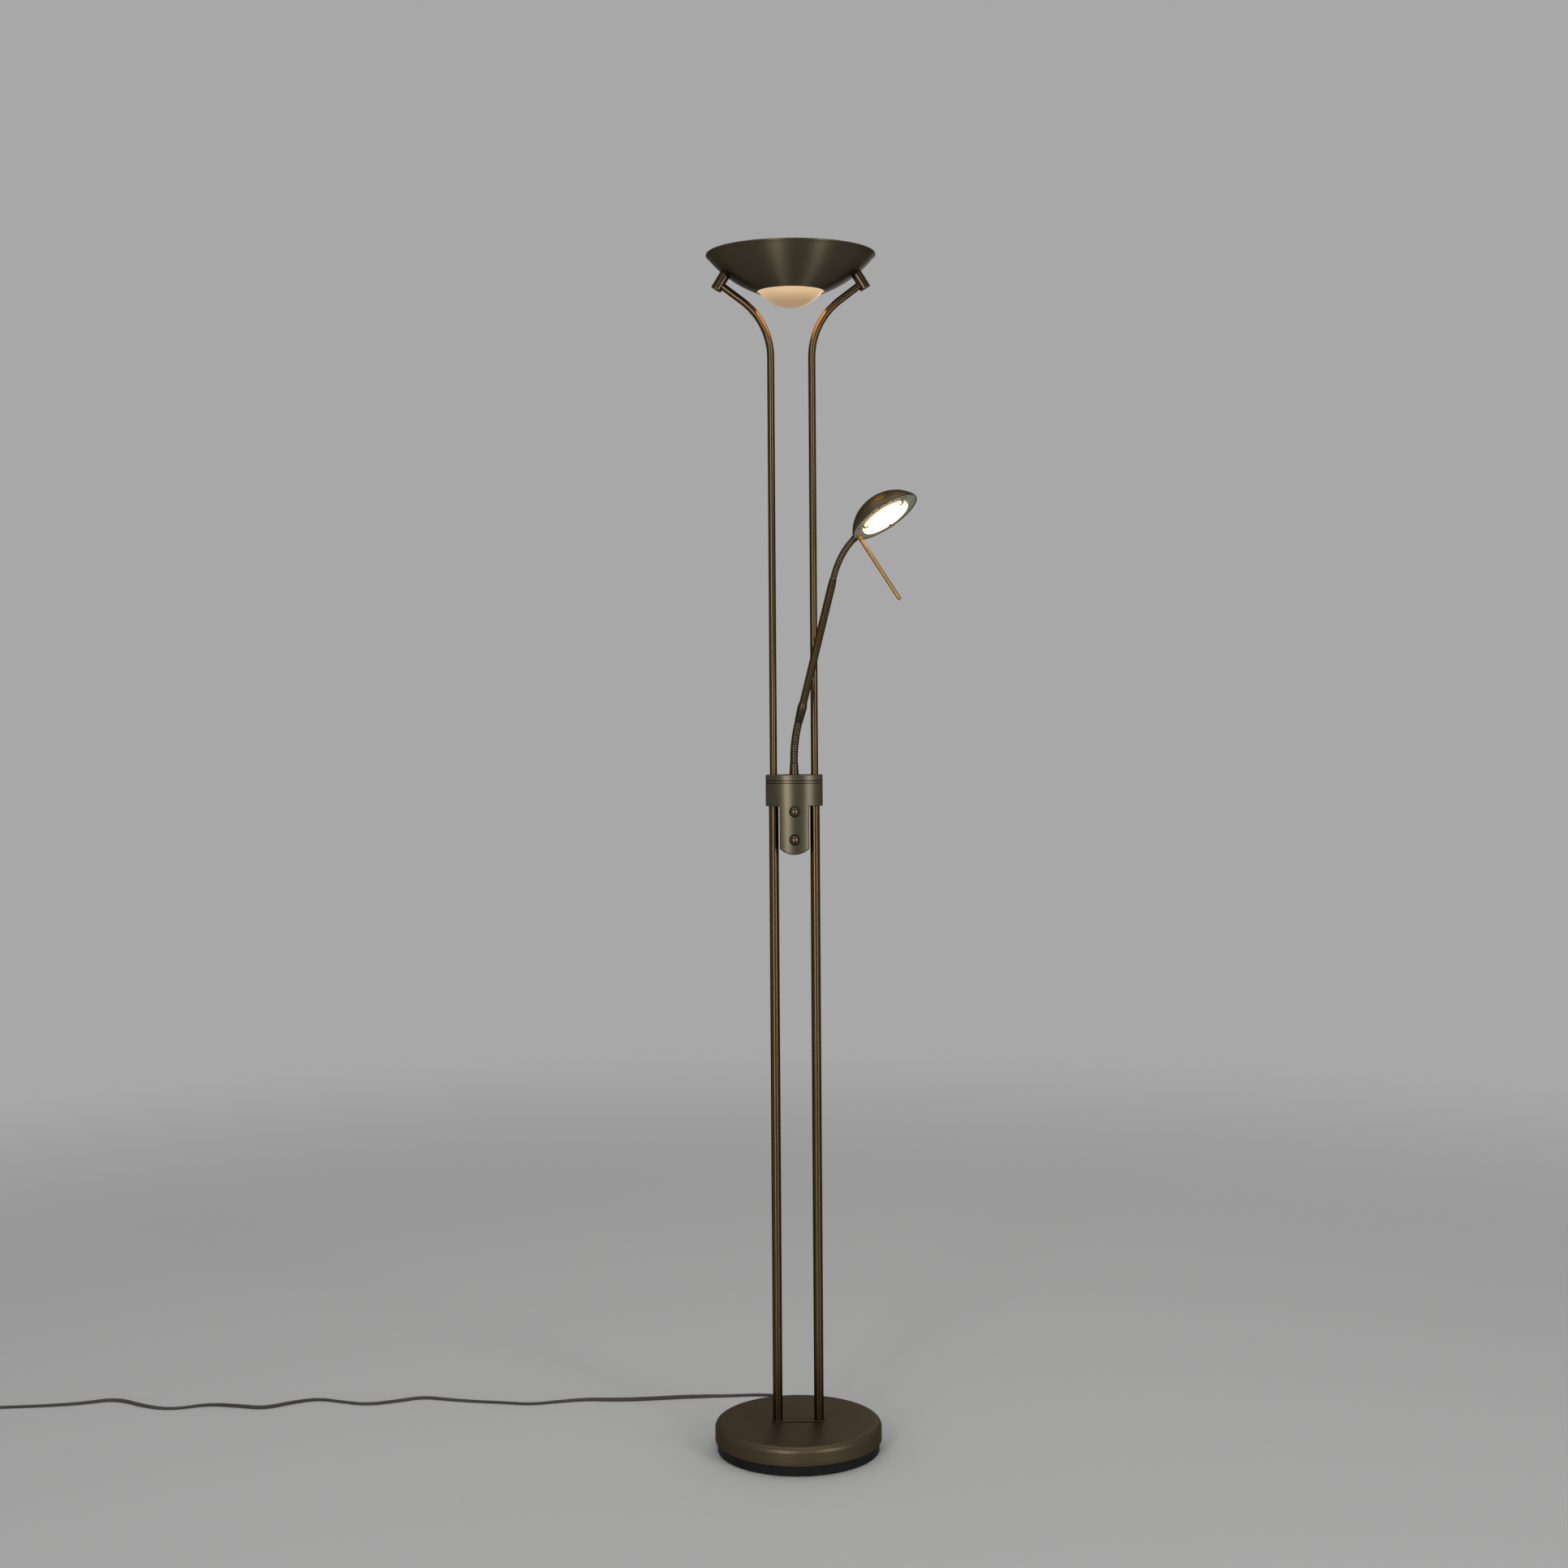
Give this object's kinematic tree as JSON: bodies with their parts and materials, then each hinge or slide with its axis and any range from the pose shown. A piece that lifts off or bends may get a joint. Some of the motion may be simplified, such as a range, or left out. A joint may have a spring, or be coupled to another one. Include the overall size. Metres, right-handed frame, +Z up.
{
  "type": "torchiere floor lamp with reading light",
  "caption": "Antique-bronze torchiere floor lamp: round weighted base, paired posts, uplight bowl and a reading light on a gooseneck arm.",
  "frame": {"origin": "centre of the base's underside, on the floor", "axes": "+Z up along the lamp, -Y the front with the dimmer knobs, +X the side that the reading arm leans to"},
  "size_m": [1.5765, 0.5314, 1.8],
  "materials": {
    "bronze": "satin antique bronze, brushed along the tubes",
    "black_plastic": "matte",
    "cast_iron": "rough cast",
    "steel": "zinc-plated",
    "felt": "soft pads",
    "aluminium": "bright reflector sheet",
    "ceramic": "unglazed white ceramic",
    "frosted_glass": "frosted",
    "clear_glass": "clear",
    "dimmer_plastic": "moulded",
    "cord_rubber": "dark flat cord",
    "brass": "plain"
  },
  "bodies": {
    "stand": {"base_tray": "black_plastic", "base_pads": "felt", "base_screws": "steel", "base_weight": "cast_iron", "base_cover": "bronze", "base_terminal_block": "dimmer_plastic", "base_flange": "bronze", "post_nipples": "steel", "post_foot_nuts": "steel", "post_foot_bushes": "steel", "lower_posts": "bronze", "post_joiners": "bronze", "upper_posts": "bronze", "supply_leads": "cord_rubber", "bowl_bosses": "bronze", "boss_screws": "steel", "uplight_bowl": "bronze", "bowl_reflector": "aluminium", "glass_dome": "frosted_glass", "uplight_clips": "steel", "lamp_bridge": "steel", "lamp_holders": "ceramic", "halogen_tube": "clear_glass", "guard_glass": "clear_glass", "housing_front": "bronze", "housing_back": "bronze", "housing_screws": "steel", "dimmers": "dimmer_plastic", "dimmer_nuts": "steel", "cord_gland": "cord_rubber", "power_cord": "cord_rubber", "cord_coil": "cord_rubber", "cord_tie": "steel", "plug": "cord_rubber", "neck_collar": "bronze", "neck_collar_nut": "steel"},
    "uplight_dimmer_knob": {"knob_uplight": "bronze"},
    "reading_dimmer_knob": {"knob_reading": "bronze"},
    "lower_link_1": {"lower_neck_link_1": "bronze"},
    "lower_link_2": {"lower_neck_link_2": "bronze"},
    "lower_link_3": {"lower_neck_link_3": "bronze"},
    "arm": {"arm_sleeve": "bronze", "arm_tube": "bronze", "arm_ferrule": "bronze"},
    "upper_link_1": {"upper_neck_link_1": "bronze"},
    "upper_link_2": {"upper_neck_link_2": "bronze"},
    "upper_link_3": {"upper_neck_link_3": "bronze"},
    "upper_link_4": {"upper_neck_link_4": "bronze"},
    "upper_link_5": {"upper_neck_link_5": "bronze"},
    "head": {"head_ferrule": "bronze", "head_nut": "brass", "head_shade": "bronze", "head_plate": "bronze", "head_reflector": "aluminium", "head_socket": "ceramic", "head_bulb": "clear_glass", "head_glass": "frosted_glass", "glass_clips": "steel", "clip_screws": "steel", "handle": "bronze"}
  },
  "joints": [
    {"name": "uplight_dimmer", "type": "hinge", "parent": "stand", "child": "uplight_dimmer_knob", "pos_m": [0, -0.02, 0.961], "axis": [0, -1, 0], "range_deg": [0, 300]},
    {"name": "reading_dimmer", "type": "hinge", "parent": "stand", "child": "reading_dimmer_knob", "pos_m": [0, -0.02, 0.9186], "axis": [0, -1, 0], "range_deg": [0, 300]},
    {"name": "lower_neck_side", "type": "hinge", "parent": "stand", "child": "lower_link_1", "pos_m": [0, -0.0065, 1.0443], "axis": [0, 1, 0], "range_deg": [-13, 9]},
    {"name": "lower_neck_fore", "type": "hinge", "parent": "lower_link_1", "child": "lower_link_2", "pos_m": [0.00086, -0.00797, 1.0586], "axis": [1, 0, 0], "range_deg": [-5, 8.5]},
    {"name": "lower_neck_side_2", "type": "hinge", "parent": "lower_link_2", "child": "lower_link_3", "pos_m": [0.00255, -0.01088, 1.0726], "axis": [0, 1, 0], "range_deg": [-13, 9]},
    {"name": "lower_neck_fore_2", "type": "hinge", "parent": "lower_link_3", "child": "arm", "pos_m": [0.00501, -0.01518, 1.08612], "axis": [1, 0, 0], "range_deg": [-5, 8.5]},
    {"name": "upper_neck_side", "type": "hinge", "parent": "arm", "child": "upper_link_1", "pos_m": [0.06014, -0.11314, 1.31142], "axis": [0, 1, 0], "range_deg": [-14, 6]},
    {"name": "upper_neck_fore", "type": "hinge", "parent": "upper_link_1", "child": "upper_link_2", "pos_m": [0.06315, -0.11722, 1.32077], "axis": [1, 0, 0], "range_deg": [-5.5, 8]},
    {"name": "upper_neck_side_2", "type": "hinge", "parent": "upper_link_2", "child": "upper_link_3", "pos_m": [0.06684, -0.12121, 1.32992], "axis": [0, 1, 0], "range_deg": [-14, 6]},
    {"name": "upper_neck_fore_2", "type": "hinge", "parent": "upper_link_3", "child": "upper_link_4", "pos_m": [0.07115, -0.12511, 1.33883], "axis": [1, 0, 0], "range_deg": [-5.5, 8]},
    {"name": "upper_neck_side_3", "type": "hinge", "parent": "upper_link_4", "child": "upper_link_5", "pos_m": [0.07633, -0.12884, 1.34734], "axis": [0, 1, 0], "range_deg": [-14, 6]},
    {"name": "upper_neck_fore_3", "type": "hinge", "parent": "upper_link_5", "child": "head", "pos_m": [0.08249, -0.13233, 1.35528], "axis": [1, 0, 0], "range_deg": [-5.5, 8]}
  ],
  "couplings": [
    {"joint": "lower_neck_side_2", "follows": "lower_neck_side", "ratio": 1},
    {"joint": "lower_neck_fore_2", "follows": "lower_neck_fore", "ratio": 1},
    {"joint": "upper_neck_side_2", "follows": "upper_neck_side", "ratio": 1},
    {"joint": "upper_neck_side_3", "follows": "upper_neck_side", "ratio": 1},
    {"joint": "upper_neck_fore_2", "follows": "upper_neck_fore", "ratio": 1},
    {"joint": "upper_neck_fore_3", "follows": "upper_neck_fore", "ratio": 1}
  ]
}
